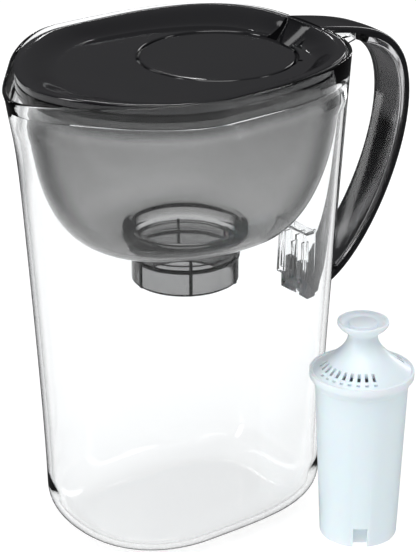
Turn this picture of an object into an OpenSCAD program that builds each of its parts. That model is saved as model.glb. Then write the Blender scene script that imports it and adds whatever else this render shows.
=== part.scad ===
// Filtering water jug with a lift-out reservoir, a lid with a hinged fill flap,
// and a drop-in filter cartridge standing beside it. Millimetres, +Z up.
// Origin: centre of the jug's foot on the table. +X runs to the handle, -X to the spout.

/* [Jug] */
// Height of the jug's rim
rim_z = 261.4; // [256:0.2:266]
// Half width of the rim across the jug
rim_b = 76; // [72:0.1:82]
// Rim length from its widest line to the handle end
rim_ah = 108.2; // [100:0.1:116]
// Rim length from its widest line to the spout end
rim_as = 69.4; // [66:0.1:74]
// Where the widest line of the rim lies
rim_xm = -18.5; // [-25:0.5:-10]
// Half width of the foot across the jug
foot_b = 57; // [50:0.5:62]
// Foot length from its widest line to the handle end
foot_ah = 87; // [78:0.5:90]
// Foot length from its widest line to the spout end
foot_as = 59; // [52:0.5:64]
// Where the widest line of the foot lies
foot_xm = -10; // [-16:0.5:-4]
// Rounding between the foot and the wall
foot_r = 22; // [14:1:26]
// Wall thickness of the clear jug
jug_wall = 2.4; // [2:0.1:3]
// How far the spout stands out from the rim
spout_out = 9.2; // [6:0.2:12]
// Half width of the spout
spout_half_w = 46; // [36:1:50]
// How far the rim dips towards the spout
spout_dip = 5.9; // [3:0.1:6.4]
// How far the reservoir's ledge stands in from the jug's outside
ledge_d = 3.9; // [3.4:0.1:4.6]

/* [Reservoir] */
// Height where the reservoir's band sits on the jug's ledge
band_z = 247; // [240:1:250]
// Height of the band's top edge
band_top = 255; // [252:0.5:257]
// Wall thickness of the reservoir
res_wall = 2.2; // [1.8:0.1:3]
// Height of the reservoir's floor, outside
floor_z = 163.6; // [162.4:0.2:166]
// Centre of the filter seat
seat_x = 8.4; // [2:0.2:14]
// Height of the filter seat's base
seat_z = 162; // [160:0.2:162.4]
// Radius of the seat's top ring
seat_ring_r = 32.5; // [31:0.1:34]
// Radius of the seat's upper bore, which takes the filter's flange
seat_bore_r = 28.2; // [28:0.1:29]
// Radius of the lower throat, which takes the filter's body
throat_r = 25.6; // [25.3:0.1:26.5]
// Outer radius of the seat's collar
collar_r = 28.2; // [27.8:0.1:29]
// Height of the collar's lower end
collar_z = 136; // [130:1:142]
// Number of guide ribs down the collar
collar_ribs = 6; // [4:1:8]

/* [Lid] */
// Height of the lid's edge at its middle
lid_z = 260.6; // [259:0.2:263]
// Rise of the lid's edge towards the handle, per millimetre
lid_rise = 0.015; // [0:0.005:0.02]
// How far the lid's edge lies inside the jug's rim
lid_inset = 3; // [2.8:0.1:4]
// Thickness of the lid's skin
lid_t = 2.2; // [1.8:0.1:2.8]
// Centre of the fill opening
fill_x = 30; // [26:0.5:32]
// Radius of the fill opening
fill_r = 41.8; // [41.6:0.1:42]
// Rounding of the opening's lip and of the flap's edge
lip_r = 1.2; // [1.1:0.1:1.4]
// Height of the fill opening's upper edge
fill_z = 254.2; // [253:0.2:256]

/* [Flap] */
// Radius of the flap
flap_r = 40.7; // [39:0.1:40.9]
// Thickness of the flap
flap_t = 2.4; // [2:0.1:3]
// Distance from the flap's centre to its hinge axis
hinge_back = 34; // [30:0.5:35]
// Depth of the hinge axis under the fill opening's upper edge
hinge_drop = 1.3; // [1.2:0.05:1.35]
// Radius of the hinge pins
pin_r = 0.95; // [0.8:0.05:1]
// Radial clearance of the hinge pins
pin_play = 0.06; // [0.03:0.01:0.1]

/* [Handle] */
// How far the handle reaches from the jug's centre line
grip_x = 154.6; // [146:0.2:160]
// Half width of the handle at its root
handle_end_w = 14; // [12:0.5:15]
// Half width of the handle at its foot
foot_w = 12; // [11:0.5:14]
// Half width of the handle at the grip
grip_w = 11.5; // [9:0.5:13]
// Depth of the handle's outer shell
shell_d = 7.4; // [6:0.2:9]
// Thickness of the grip liner
liner_t = 2.6; // [2:0.2:3.4]

/* [Filter] */
// Where the filter stands, along the jug
filter_x = 64.4; // [62:0.1:72]
// Where the filter stands, across the jug
filter_y = -80.6; // [-95:0.1:-80]
// Radius of the filter's flange
flange_r = 27.6; // [27:0.1:27.9]
// Height of the flange's lower face
flange_z = 91.8; // [86:0.2:94]
// Radius of the filter's body at its bottom
body_r0 = 20.6; // [19:0.1:22]
// Radius of the filter's body under the flange
body_r1 = 24.8; // [24:0.1:25]
// Height of the filter's knob
knob_z = 123.7; // [122.5:0.1:126]
// Radius of the filter's knob
knob_r = 13.6; // [13:0.1:14.4]
// Number of flow slots in each of the two fans on the filter's cap
flow_slots = 10; // [6:1:12]

/* [Hidden] */
$fn = 64;
sides = 60;                 // points round each moulded ring
step = 360 / sides;
bracket_x = 84.6;           // outer face of the bracket's plate
hinge_x = fill_x - hinge_back;
hinge_z = fill_z - hinge_drop;
band_gap = 0.4;             // reservoir band to jug rim
c_clear = [0.86, 0.92, 0.95, 0.35];
c_smoke = [0.25, 0.26, 0.28, 0.6];
c_black = [0.12, 0.12, 0.13];
c_filter = [0.88, 0.92, 0.97];

// ---- Moulded rings: every big shell is a stack of egg-shaped rings ----

function mix(a, b, t) = a + (b - a) * t;
function smooth(t) = let (u = min(1, max(0, t))) u * u * (3 - 2 * u);

// An egg-shaped outline is [ah, as, b, nh, ns, xm]: the two half lengths, the half
// width, the squareness of the two ends, and the place of the widest line.
function inset(e, d) = [e[0] - d, e[1] - d, e[2] - d, e[3], e[4], e[5]];
function egg_r(e, c, s) =
    let (n = c > 0 ? e[3] : e[4], a = c > 0 ? e[0] : e[1])
    pow(pow(abs(c) / a, n) + pow(abs(s) / e[2], n), -1 / n);
function egg(e, i) = let (c = cos(i * step), s = sin(i * step), r = egg_r(e, c, s)) [e[5] + r * c, r * s];
function ring(e, z) = [for (i = [0:sides - 1]) let (p = egg(e, i)) [p[0], p[1], z]];
function round_ring(x, r, z) = [for (i = [0:sides - 1]) [x + r * cos(i * step), r * sin(i * step), z]];

// Closed skin over a stack of rings. Looped joins the last ring to the first; end_parts
// splits the two end faces into convex pieces where a ring isn't convex.
module skin(rings, looped = false, end_parts = undef) {
    n = len(rings);
    m = len(rings[0]);
    walls = [for (k = [0:(looped ? n - 1 : n - 2)], i = [0:m - 1], h = [0, 1])
        let (j = (i + 1) % m, a = k * m, b = ((k + 1) % n) * m)
        h == 0 ? [a + i, b + i, a + j] : [a + j, b + i, b + j]];
    parts = is_undef(end_parts) ? [[for (i = [0:m - 1]) i]] : end_parts;
    ends = [for (p = parts) [for (i = [len(p) - 1:-1:0]) (n - 1) * m + p[i]]];
    caps = looped ? [] : concat(parts, ends);
    polyhedron(points = [for (r = rings, p = r) p], faces = concat(walls, caps), convexity = 10);
}

// ---- Jug ----

rim = [rim_ah, rim_as, rim_b, 3.05, 1.68, rim_xm];
foot = [foot_ah, foot_as, foot_b, 3.6, 2.2, foot_xm];
function jug_outline(z) =
    let (t = pow(max(0, z - foot_r) / (rim_z - foot_r), 1.3)) [for (k = [0:5]) mix(foot[k], rim[k], t)];
// The spout is a swelling of the wall round the -X end that grows towards the rim.
function spout_at(z) = spout_out * pow(smooth((z - 176) / (rim_z - 176)), 1.4);
function spouted(r, out) = [for (p = r) p[0] < 0 && abs(p[1]) < spout_half_w
    ? [p[0] - out * pow(cos(90 * p[1] / spout_half_w), 2), p[1], p[2]] : p];
function jug_ring(z, d) = spouted(ring(inset(jug_outline(z), d), z), spout_at(z));
// The rim scoops down towards the spout.
function rim_ring(z, d) = [for (p = jug_ring(z, d))
    [p[0], p[1], z - spout_dip * (1 - smooth((p[0] + 100) / 73))]];
// The ledge that carries the reservoir runs out before the spout, so that water can pass.
function shelf_ring(z) = let (w = jug_ring(z, jug_wall + 0.3), l = jug_ring(z, ledge_d))
    [for (i = [0:sides - 1]) mix(w[i], l[i], smooth((w[i][0] + 93) / 14))];
function foot_ring(a, d) =
    let (r = foot_r - d) ring(inset(foot, foot_r - r * sin(a)), foot_r - r * cos(a));

module jug_body() {
    outer_z = [36, 62, 90, 120, 150, 176, 198, 218, 236, 250];
    inner_z = [232, 216, 198, 176, 150, 120, 90, 62, 36];
    color(c_clear) difference() {
        union() {
            jug_shell(outer_z, inner_z);
            handle_socket();
            handle_bracket();
        }
        // Notch in the rim that the handle's root plate lies in.
        translate([84, -14.6, rim_z - 3.4]) cube([6.2, 29.2, 8]);
    }
}

module jug_shell(outer_z, inner_z) {
    skin(concat(
        [for (a = [0:18:90]) foot_ring(a, 0)],
        [for (z = outer_z) jug_ring(z, 0)],
        [rim_ring(rim_z - 0.8, 0), rim_ring(rim_z, 0.8), rim_ring(rim_z, jug_wall - 0.5),
         jug_ring(band_z, jug_wall), shelf_ring(band_z), shelf_ring(band_z - 4),
         jug_ring(band_z - 9, jug_wall)],
        [for (z = inner_z) jug_ring(z, jug_wall)],
        [for (a = [90:-18:0]) foot_ring(a, jug_wall + 0.6)]));
}

// Tongue on the rim that the handle's hollow root slides over.
module handle_socket() {
    root = 87.6;
    tip = 116;
    for (s = [-1, 1]) translate([0, s * 7.5, 0]) rotate([90, 0, 0])
        linear_extrude(2.4, center = true)
            polygon([[root, 236], [root, 259], [99, 256.95], [110, 254.5], [tip, 253], [tip, 248], [98, 243.4]]);
    translate([root, -8.7, 249.6]) cube([tip - root, 17.4, 2]);
}

// Ribbed bracket low on the wall that the handle's foot locks under.
module handle_bracket() {
    low = 110;
    top = 146;
    out = 92;
    rotate([90, 0, 0]) linear_extrude(23, center = true)
        polygon([[78.8, low], [bracket_x, low], [bracket_x, top], [81.2, top]]);
    for (y = [-10.4, 0, 10.4]) translate([83.6, y - 1.1, 123.4]) cube([out - 83.6, 2.2, top - 123.4]);
    for (z = [136, top - 2]) translate([83.6, -11.5, z]) cube([out - 84.6, 23, 2]);
}

// ---- Handle ----

function bezier(p, t) = let (u = 1 - t)
    u * u * u * p[0] + 3 * u * u * t * p[1] + 3 * u * t * t * p[2] + t * t * t * p[3];
function slope(p, t) = let (u = 1 - t)
    u * u * (p[1] - p[0]) + 2 * u * t * (p[2] - p[1]) + t * t * (p[3] - p[2]);

crown = [[88.1, 261.7], [129, 255], [grip_x, 248.6], [grip_x, 210]];
tail = [[grip_x, 210], [grip_x, 173], [125, 119.6], [94, 109.8]];
half = 12;                  // stations along each of the two curves
function path(k) = k <= half ? bezier(crown, k / half) : bezier(tail, (k - half) / half);
function turn(k) = let (d = k <= half ? slope(crown, k / half) : slope(tail, (k - half) / half)) d / norm(d);
// Half width along the handle: wide at both ends and narrow at the grip.
function width_at(k) = k < half ? mix(handle_end_w, grip_w, smooth(k / 8))
    : mix(foot_w, grip_w, smooth((2 * half - k) / 6));

// The shell is a plain plate over the jug's tongue and gets side walls past it.
function depth_at(k) = mix(3.4, shell_d, smooth(k - 3));

// A profile point is [out from the path, across]; out is negative into the handle.
function station(k, profile) = let (p = path(k), t = turn(k))
    [for (q = profile) [p[0] + t[1] * -q[0], q[1], p[1] + t[0] * q[0]]];
function shell_profile(w, d) = let (f = 2.2, web = 2.8) [
    [-d, w - f], [-d, w], [-2.2, w], [-0.7, w - 0.7], [0, w - 2.6],
    [0, 2.6 - w], [-0.7, 0.7 - w], [-2.2, -w], [-d, -w], [-d, f - w], [-web, f - w], [-web, w - f]];
function liner_profile(w) = let (f = 2.15, d = shell_d + 0.5) [
    [-d + liner_t, w - f], [-d + liner_t, f - w], [-d + 0.6, f - w], [-d, f + 1.2 - w],
    [-d, w - f - 1.2], [-d + 0.6, w - f]];

module handle_shell() {
    color(c_black)
    union() {
        skin([for (k = [0:2 * half]) station(k, shell_profile(width_at(k), depth_at(k)))],
            end_parts = [[0, 1, 2, 3, 4, 11], [11, 4, 5, 10], [10, 5, 6, 7, 8, 9]]);
        handle_foot();
    }
}

// Foot that stands against the bracket's plate, with two pegs up between its ribs.
module handle_foot() {
    x0 = bracket_x + 0.05;
    w = foot_w + 0.4;
    rotate([90, 0, 0]) linear_extrude(2 * w, center = true)
        polygon([[x0, 108.4], [x0, 121.6], [x0 + 1.4, 123], [92.6, 123], [98, 120.6], [99, 113], [96.6, 108.4]]);
    for (y = [-5.2, 5.2]) translate([x0, y - 3.1, 122]) cube([5.2, 6.2, 12]);
    translate([x0, -w, 106.6]) cube([8, 8.4, 3]);
    translate([x0, 2.4, 106.6]) cube([8, w - 2.4, 3]);
}

module handle_liner() {
    color([0.16, 0.16, 0.17])
    skin([for (k = [4:2 * half - 3]) station(k, liner_profile(width_at(k)))]);
}

// ---- Reservoir ----

// The bowl is an egg at the band that closes on a flat floor round the seat.
bowl_top = [93.6, 66.3, 68.4, 3.1, 2.1, -10];
bowl_floor = [32.4, 49.5, 39.8, 3.1, 2.1, seat_x];
function bowl_ring(a, d) =
    let (s = pow(cos(a), 0.97), z = mix(band_z - 3, floor_z, sin(a)))
    ring(inset([for (k = [0:5]) mix(bowl_floor[k], bowl_top[k], s)], d * cos(a * 0.9)), z + d * sin(a));
function band(z) = inset(jug_outline(z), jug_wall + band_gap);

function band_ring(z, d) = ring(inset(band(z), d), z);

module reservoir() {
    sit = band_z + 0.05;
    angles = [90, 82, 73, 63, 52, 41, 30, 19, 8];
    color(c_smoke)
    difference() {
        union() {
            skin(concat(
                [for (a = angles) bowl_ring(a, 0)],
                [band_ring(sit, 2.4), band_ring(sit, 0.4), band_ring(sit + 0.4, 0), band_ring(band_top - 0.4, 0),
                 band_ring(band_top, 0.4), band_ring(band_top, res_wall), band_ring(band_z + 2, res_wall)],
                [for (k = [len(angles) - 1:-1:0]) bowl_ring(angles[k], res_wall)]));
            translate([seat_x, 0, 0]) seat();
        }
        translate([seat_x, 0, seat_z - 5.6]) cylinder(h = 20, r = seat_bore_r);
        translate([seat_x, 0, collar_z - 1]) cylinder(h = 40, r = throat_r);
        translate([seat_x, 0, collar_z - 1]) cylinder(h = 17.6, r = collar_r - 2);
    }
}

// Raised ring, bored seat with its ledge, and ribbed collar of the filter seat.
module seat() {
    z0 = seat_z;
    for (i = [0:collar_ribs - 1]) rotate(i * 360 / collar_ribs)
        translate([collar_r - 1, -0.9, collar_z + 0.4]) cube([1.8, 1.8, 21]);
    rotate_extrude() polygon([
        [throat_r - 2, collar_z], [collar_r - 0.8, collar_z], [collar_r, collar_z + 0.8],
        [collar_r, collar_z + 12.6], [collar_r + 0.7, collar_z + 13.2], [collar_r + 0.7, collar_z + 14.4],
        [collar_r, collar_z + 15], [collar_r + 0.9, z0 - 3], [seat_ring_r - 0.5, z0 - 0.6],
        [seat_ring_r, z0 + 0.4], [seat_ring_r, z0 + 3.8], [seat_ring_r - 0.8, z0 + 4.5],
        [seat_bore_r + 1.4, z0 + 4.5], [seat_bore_r - 1, z0 + 3.5], [throat_r - 2, z0]]);
}

// ---- Lid ----

edge = inset(rim, lid_inset);
function edge_z(x) = lid_z + lid_rise * x;
function sloped(r, dz) = [for (p = r) [p[0], p[1], edge_z(p[0]) + dz]];
// The top runs from the edge down to the fill opening, as a dish round the flap.
function top_ring(t, dz) = [for (i = [0:sides - 1])
    let (o = egg(inset(edge, 1.6), i), lip = fill_r + lip_r, c = [fill_x + lip * cos(i * step), lip * sin(i * step)],
         p = mix(o, c, t), side = norm(o - c),
         drop = smooth((t * side - 1) / min(22, side - 4)))
    [p[0], p[1], mix(edge_z(p[0]), fill_z, drop) + dz]];
// Stop ledge under the flap, only round its handle side.
function ledge_ring(z) = [for (i = [0:sides - 1])
    let (c = cos(i * step), r = fill_r - 0.1 - 2.3 * smooth((c - 0.1) / 0.3)) [fill_x + r * c, r * sin(i * step), z]];

module lid() {
    shares = [0.06, 0.16, 0.28, 0.42, 0.58, 0.76, 0.9];
    stop_z = fill_z - 0.3 - flap_t;
    seat_z = band_top + 0.05;
    color(c_black)
    difference() {
        union() {
            skin(concat(
                [band_ring(seat_z - 5, res_wall + 0.5), band_ring(seat_z, res_wall + 0.5),
                 band_ring(seat_z, 0.5), sloped(ring(inset(edge, 0.7), 0), -2.4),
                 sloped(ring(edge, 0), -2.2), sloped(ring(edge, 0), -0.5), sloped(ring(inset(edge, 0.5), 0), 0)],
                [top_ring(0, 0.15)], [for (t = shares) top_ring(t, 0)], [for (a = [90, 60, 30, 0]) lip_ring(a)],
                [round_ring(fill_x, fill_r, stop_z), ledge_ring(stop_z), ledge_ring(stop_z - 1.4),
                 round_ring(fill_x, fill_r - 0.1, stop_z - 2.4), round_ring(fill_x, fill_r - 0.1, fill_z - 8.6),
                 round_ring(fill_x, fill_r + 1.5, fill_z - 8.6), round_ring(fill_x, fill_r + 1.7, fill_z - lid_t)],
                [for (k = [len(shares) - 2:-1:0]) top_ring(shares[k], -lid_t)],
                [band_ring(seat_z, res_wall + 2.6), band_ring(seat_z - 5, res_wall + 2.4)]),
                looped = true);
            for (s = [-1, 1]) translate([hinge_x, s * 29.2, hinge_z - 1.5]) rotate([90, 0, 0])
                cylinder(h = 4.4, r = 2.7, center = true);
            recess_block(12.2);
        }
        for (s = [-1, 1]) translate([hinge_x, s * 26.7, hinge_z]) rotate([90, 0, 0])
            cylinder(h = 8.4, r = pin_r + pin_play, center = true);
        recess_cut(10.2);
        translate([fill_x, 0, fill_z - 3]) rotate(-49) translate([fill_r - 0.4, -1.2, 0]) cube([3.2, 2.4, 4]);
    }
}

// Rounded lip of the fill opening; a is the angle round the lip's curve.
function lip_ring(a) = round_ring(fill_x, fill_r + lip_r * (1 - cos(a)), fill_z - lip_r * (1 - sin(a)));

// Tray behind the flap that lets a finger under its edge.
module recess_block(w) {
    rotate([90, 0, 0]) linear_extrude(2 * w, center = true)
        polygon([[70.6, 247], [77, 247], [83.2, 254.8], [84.6, 258], [80, 258], [70.6, 252.8]]);
}

module recess_cut(w) {
    rotate([90, 0, 0]) linear_extrude(2 * w, center = true)
        polygon([[68, 248.8], [76.2, 248.8], [83.6, 258.6], [85.2, 266], [68, 266]]);
}

// ---- Flap ----

module fill_flap() {
    top = fill_z - 0.2;
    under = top - flap_t;
    color(c_black) {
        translate([fill_x, 0, 0]) rotate_extrude($fn = 96) polygon(concat(
            [[0, under], [flap_r - 0.4, under], [flap_r, under + 0.4]],
            [for (a = [0:22.5:90]) [flap_r - lip_r * (1 - cos(a)), top - lip_r * (1 - sin(a))]],
            [[0, top + 0.3]]));
        for (s = [-1, 1]) translate([hinge_x, s * 25.2, hinge_z]) rotate([90, 0, 0])
            cylinder(h = 10.4, r = pin_r, center = true);
        translate([fill_x, 0, under - 2]) difference() {
            cylinder(h = 2.2, r = 30);
            translate([0, 0, -1]) cylinder(h = 4, r = 28.4);
        }
    }
}

// ---- Filter ----

module at_filter() {
    translate([filter_x, filter_y, 0]) rotate(-127) children();
}

function body_r(z) = mix(body_r0, body_r1, z / flange_z);

module filter_housing() {
    wall = 1.4;
    color(c_filter) at_filter() difference() {
        rotate_extrude() polygon([
            [0, 1], [body_r0 - 3, 1], [body_r0 - 2.4, 0], [body_r0 - 1, 0], [body_r0, 1.2],
            [body_r(88), flange_z - 3.9], [body_r1 + 0.5, flange_z - 3.5], [body_r1 + 0.5, flange_z],
            [body_r1 - wall, flange_z], [body_r(4) - wall, 4], [0, 4]]);
        translate([body_r0 - 4.2, -3.8, -1]) cube([10, 7.6, 12.5]);
        for (i = [0:7], j = [0, 1]) rotate(i * 45 + j * 22.5) translate([7 + 5 * j, -0.8, -1]) cube([4, 1.6, 6]);
    }
    color(c_filter) at_filter() difference() {
        translate([body_r0 - 5.8, -5.2, 2]) cube([5.4, 10.4, 11]);
        translate([body_r0 - 4.2, -3.8, -1]) cube([10, 7.6, 12.5]);
    }
}

// Hood that sweeps from the flange's dish up to the neck, and the flare under the knob,
// as heights above the flange's rim.
hood_outside = [[25.4, 0], [19.6, 4.6], [8.2, 11], [7.8, 19.5]];
hood_inside = [[23.2, -1.4], [18.6, 3.1], [6.6, 9], [5.9, 18]];
knob_flare = [[7.8, 19.5], [7.9, 22], [12.2, 22.6], [knob_r, 26.1]];
function raised(curve, z, t) = let (p = bezier(curve, t)) [p[0], z + p[1]];

module filter_cap() {
    z0 = flange_z;
    rim = z0 + 4.2;
    color(c_filter) at_filter() difference() {
        rotate_extrude() polygon(concat(
            [[body_r1 - 3.4, z0 - 2.4], [body_r1 - 1.7, z0 - 2.4], [body_r1 - 1.7, z0], [flange_r - 0.5, z0],
             [flange_r, z0 + 0.6], [flange_r, rim - 0.5], [flange_r - 0.5, rim], [flange_r - 1.3, rim],
             [flange_r - 1.7, rim - 0.4]],
            [for (t = [0:0.1:1]) raised(hood_outside, rim, t)],
            [for (t = [0.2:0.2:1]) raised(knob_flare, rim, t)],
            [[knob_r, knob_z - 0.5], [knob_r - 0.5, knob_z], [knob_r - 1.2, knob_z], [knob_r - 1.6, knob_z - 0.4]],
            [for (a = [15:15:75]) [8.6 + 3.4 * cos(a), knob_z - 0.4 - 2.5 * sin(a)]],
            [[8.2, knob_z - 3], [7.6, knob_z - 2.8], [7.4, knob_z - 1.2], [7, knob_z - 0.9], [0, knob_z - 0.7],
             [0, knob_z - 4], [5.9, knob_z - 4]],
            [for (t = [1:-0.2:0]) raised(hood_inside, rim, t)],
            [[body_r1 - 3.4, z0 + 1.8]]));
        for (side = [0, 180], i = [0:flow_slots - 1]) rotate(side + 14.1 - 10.9 * i) {
            translate([18.3, -0.85, rim - 2]) cube([3.9, 1.7, 14]);
            if (i < flow_slots - 2) translate([23.5, -1, rim - 1.2]) cube([1, 2, 6]);
        }
        rotate(90) translate([5.6, -0.35, knob_z - 3]) cube([2.6, 0.7, 4]);
    }
}

module filter_media() {
    color([0.2, 0.2, 0.2]) at_filter() rotate_extrude() polygon([
        [0, 5.1], [body_r(5.1) - 7, 5.1], [body_r(14) - 7, 13.4], [body_r(14) - 1.5, 14],
        [body_r(82) - 1.5, 82], [0, 82]]);
}

module filter_top_screen() {
    color([0.8, 0.82, 0.84]) at_filter()
        translate([0, 0, 82]) cylinder(h = 1.2, r = body_r(82) - 1.5);
}

module filter_base_screen() {
    color([0.8, 0.82, 0.84]) at_filter()
        translate([0, 0, 4]) cylinder(h = 1.1, r = body_r0 - 7);
}

jug_body();
handle_shell();
handle_liner();
reservoir();
lid();
fill_flap();
filter_housing();
filter_cap();
filter_media();
filter_top_screen();
filter_base_screen();
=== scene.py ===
import math

import bmesh
import bpy
import numpy as np
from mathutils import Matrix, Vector


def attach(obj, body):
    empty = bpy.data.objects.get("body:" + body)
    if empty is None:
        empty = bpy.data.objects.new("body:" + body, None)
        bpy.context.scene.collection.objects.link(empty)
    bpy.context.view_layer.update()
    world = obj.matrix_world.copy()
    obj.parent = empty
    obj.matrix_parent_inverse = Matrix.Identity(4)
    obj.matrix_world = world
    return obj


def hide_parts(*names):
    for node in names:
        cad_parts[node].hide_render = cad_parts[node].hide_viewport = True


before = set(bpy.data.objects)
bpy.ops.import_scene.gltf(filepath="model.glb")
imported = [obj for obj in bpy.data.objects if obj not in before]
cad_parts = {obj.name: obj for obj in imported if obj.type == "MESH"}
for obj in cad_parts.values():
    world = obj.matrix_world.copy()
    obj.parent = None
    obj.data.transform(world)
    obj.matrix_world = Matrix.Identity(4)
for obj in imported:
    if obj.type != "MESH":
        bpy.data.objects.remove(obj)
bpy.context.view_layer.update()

# ---- Jug ---------------------------------------------------------------------------
# The clear jug is one injection moulding of styrene: an egg-shaped wall that swells into
# the spout, a ledge inside that the reservoir hangs on, a tongue on the rim for the
# handle's root, and a ribbed bracket low on the wall for the handle's foot.

MM = 0.001
RIM_Z = 261.4
# The egg of the rim and that of the foot: half length ahead and behind, half width,
# squareness of the two ends, and where along the jug it is widest.
RIM = np.array([108.2, 69.4, 76.0, 3.05, 1.68, -18.5])
FOOT = np.array([87.0, 59.0, 57.0, 3.6, 2.2, -10.0])
FOOT_ROUND = 22.0
FLARE_POWER = 1.3
WALL_START = 26
JUG_WALL = 2.4
LEDGE_Z = 247.0
LEDGE_DEPTH = 3.9
LEDGE_END_X, LEDGE_FADE = -93, 14
SPOUT_OUT = 9.2
SPOUT_HALF = 46.0
SPOUT_LOW = 176
SPOUT_POWER = 1.4
SPOUT_DIP = 5.9
DIP_START_X, DIP_LENGTH = -100, 73
FULL_TURN = 2 * math.pi
QUARTER_TURN = math.pi / 2
around = np.linspace(0, FULL_TURN, 241)[:-1]


def ease(t):
    t = np.clip(t, 0, 1)
    return t * t * (3 - 2 * t)


def egg(outline, inset, z, rise=0.0):
    """A level ring round an egg, drawn in by an inset, that may rise along the jug."""
    ahead, behind, half, square_a, square_b, widest = outline
    c, s = np.cos(around), np.sin(around)
    length = np.where(c > 0, ahead, behind) - inset
    power = np.where(c > 0, square_a, square_b)
    reach = (np.abs(c / length) ** power + np.abs(s / (half - inset)) ** power) ** (-1 / power)
    x = widest + reach * c
    return np.column_stack([x, reach * s, z + rise * x])


def jug_outline(z):
    """The jug's egg at a height, part of the way from the foot's to the rim's."""
    share = (max(0.0, z - FOOT_ROUND) / (RIM_Z - FOOT_ROUND)) ** FLARE_POWER
    return FOOT + (RIM - FOOT) * share


def jug_ring(z, inset):
    """A ring of the wall, which swells out into the spout."""
    ring = egg(jug_outline(z), inset, z)
    swell = SPOUT_OUT * float(ease((z - SPOUT_LOW) / (RIM_Z - SPOUT_LOW))) ** SPOUT_POWER
    lip = (ring[:, 0] < 0) & (np.abs(ring[:, 1]) < SPOUT_HALF)
    ring[lip, 0] -= swell * np.cos(QUARTER_TURN * ring[lip, 1] / SPOUT_HALF) ** 2
    return ring


def rim_ring(z, inset):
    """A ring of the rim, which scoops down towards the spout."""
    ring = jug_ring(z, inset)
    ring[:, 2] -= SPOUT_DIP * (1 - ease((ring[:, 0] - DIP_START_X) / DIP_LENGTH))
    return ring


def shelf_ring(z, inset):
    """A ring of the reservoir's ledge, which runs out before the spout."""
    wall = jug_ring(z, JUG_WALL + 0.3 * inset / LEDGE_DEPTH)
    ledge = jug_ring(z, inset)
    return wall + (ledge - wall) * ease((wall[:, :1] - LEDGE_END_X) / LEDGE_FADE)


def foot_ring(angle, inset):
    """A ring of the round between the floor and the wall."""
    radius = FOOT_ROUND - inset
    z = FOOT_ROUND - radius * math.cos(angle)
    return egg(FOOT, FOOT_ROUND - radius * math.sin(angle), z)


def new_piece(name, mesh, sharp=35.0):
    """Shades a finished mesh smooth, apart from its edges, and puts it in the scene."""
    skin = bmesh.new()
    skin.from_mesh(mesh)
    bmesh.ops.recalc_face_normals(skin, faces=skin.faces)
    skin.to_mesh(mesh)
    skin.free()
    mesh.shade_smooth()
    mesh.set_sharp_from_angle(angle=math.radians(sharp))
    piece = bpy.data.objects.new(name, mesh)
    bpy.context.scene.collection.objects.link(piece)
    return piece


def moulding(name, rings, looped=False, sharp=35.0):
    """A closed skin over a stack of rings, in millimetres."""
    stack = np.array(rings) * MM
    rows, count = stack.shape[:2]
    faces = []
    for k in range(rows if looped else rows - 1):
        low, high = k * count, (k + 1) % rows * count
        for i in range(count):
            j = (i + 1) % count
            faces.append((low + i, low + j, high + j, high + i))
    if not looped:
        faces.append(tuple(reversed(range(count))))
        faces.append(tuple(range((rows - 1) * count, rows * count)))
    mesh = bpy.data.meshes.new(name)
    mesh.from_pydata(stack.reshape(-1, 3).tolist(), [], faces)
    return new_piece(name, mesh, sharp)


def side_cut(name, outline, y0, y1, bevel=0.0):
    """A flat rib: an outline seen from the side as (x, z), between two planes across."""
    points = [(x * MM, y * MM, z * MM) for y in (y0, y1) for x, z in outline]
    n = len(outline)
    faces = [tuple(range(n)), tuple(range(2 * n - 1, n - 1, -1))]
    faces += [(i, (i + 1) % n, n + (i + 1) % n, n + i) for i in range(n)]
    mesh = bpy.data.meshes.new(name)
    mesh.from_pydata(points, [], faces)
    piece = new_piece(name, mesh)
    if bevel:
        apply_modifier(piece, "BEVEL", width=bevel * MM, segments=3, limit_method="ANGLE")
    return piece


def block(name, x0, x1, z0, z1, y0, y1, bevel=0.0):
    """A box, given by its ends along, up and across the jug."""
    return side_cut(name, [(x0, z0), (x1, z0), (x1, z1), (x0, z1)], y0, y1, bevel)


def apply_modifier(piece, kind, **settings):
    modifier = piece.modifiers.new(kind.lower(), kind)
    for key, value in settings.items():
        setattr(modifier, key, value)
    bpy.context.view_layer.update()
    graph = bpy.context.evaluated_depsgraph_get()
    done = bpy.data.meshes.new_from_object(piece.evaluated_get(graph))
    piece.modifiers.clear()
    old = piece.data
    piece.data = done
    bpy.data.meshes.remove(old)


def join_or_cut(piece, tools, operation, sharp=35.0):
    """Joins tools to a moulding one by one, or cuts them all out of it at once.

    The tools are thrown away.
    """
    if operation == "DIFFERENCE":
        lead = tools[0]
        shapes = bmesh.new()
        for tool in tools:
            tool.data.transform(tool.matrix_world)
            shapes.from_mesh(tool.data)
        for tool in tools[1:]:
            bpy.data.objects.remove(tool)
        shapes.to_mesh(lead.data)
        shapes.free()
        lead.location = lead.rotation_euler = (0, 0, 0)
        bpy.context.view_layer.update()
        tools = [lead]
    for tool in tools:
        apply_modifier(piece, "BOOLEAN", operation=operation, solver="EXACT", object=tool)
        bpy.data.objects.remove(tool)
    piece.data.shade_smooth()
    piece.data.set_sharp_from_angle(angle=math.radians(sharp))


def rounded(top, start, end, count=7):
    """The insets and heights over a rounded rim between two insets."""
    half = (end - start) / 2
    drop = abs(half)
    turns = np.linspace(math.pi, 0, count)
    return [(start + half + half * math.cos(t), top - drop + drop * math.sin(t)) for t in turns]


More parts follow.
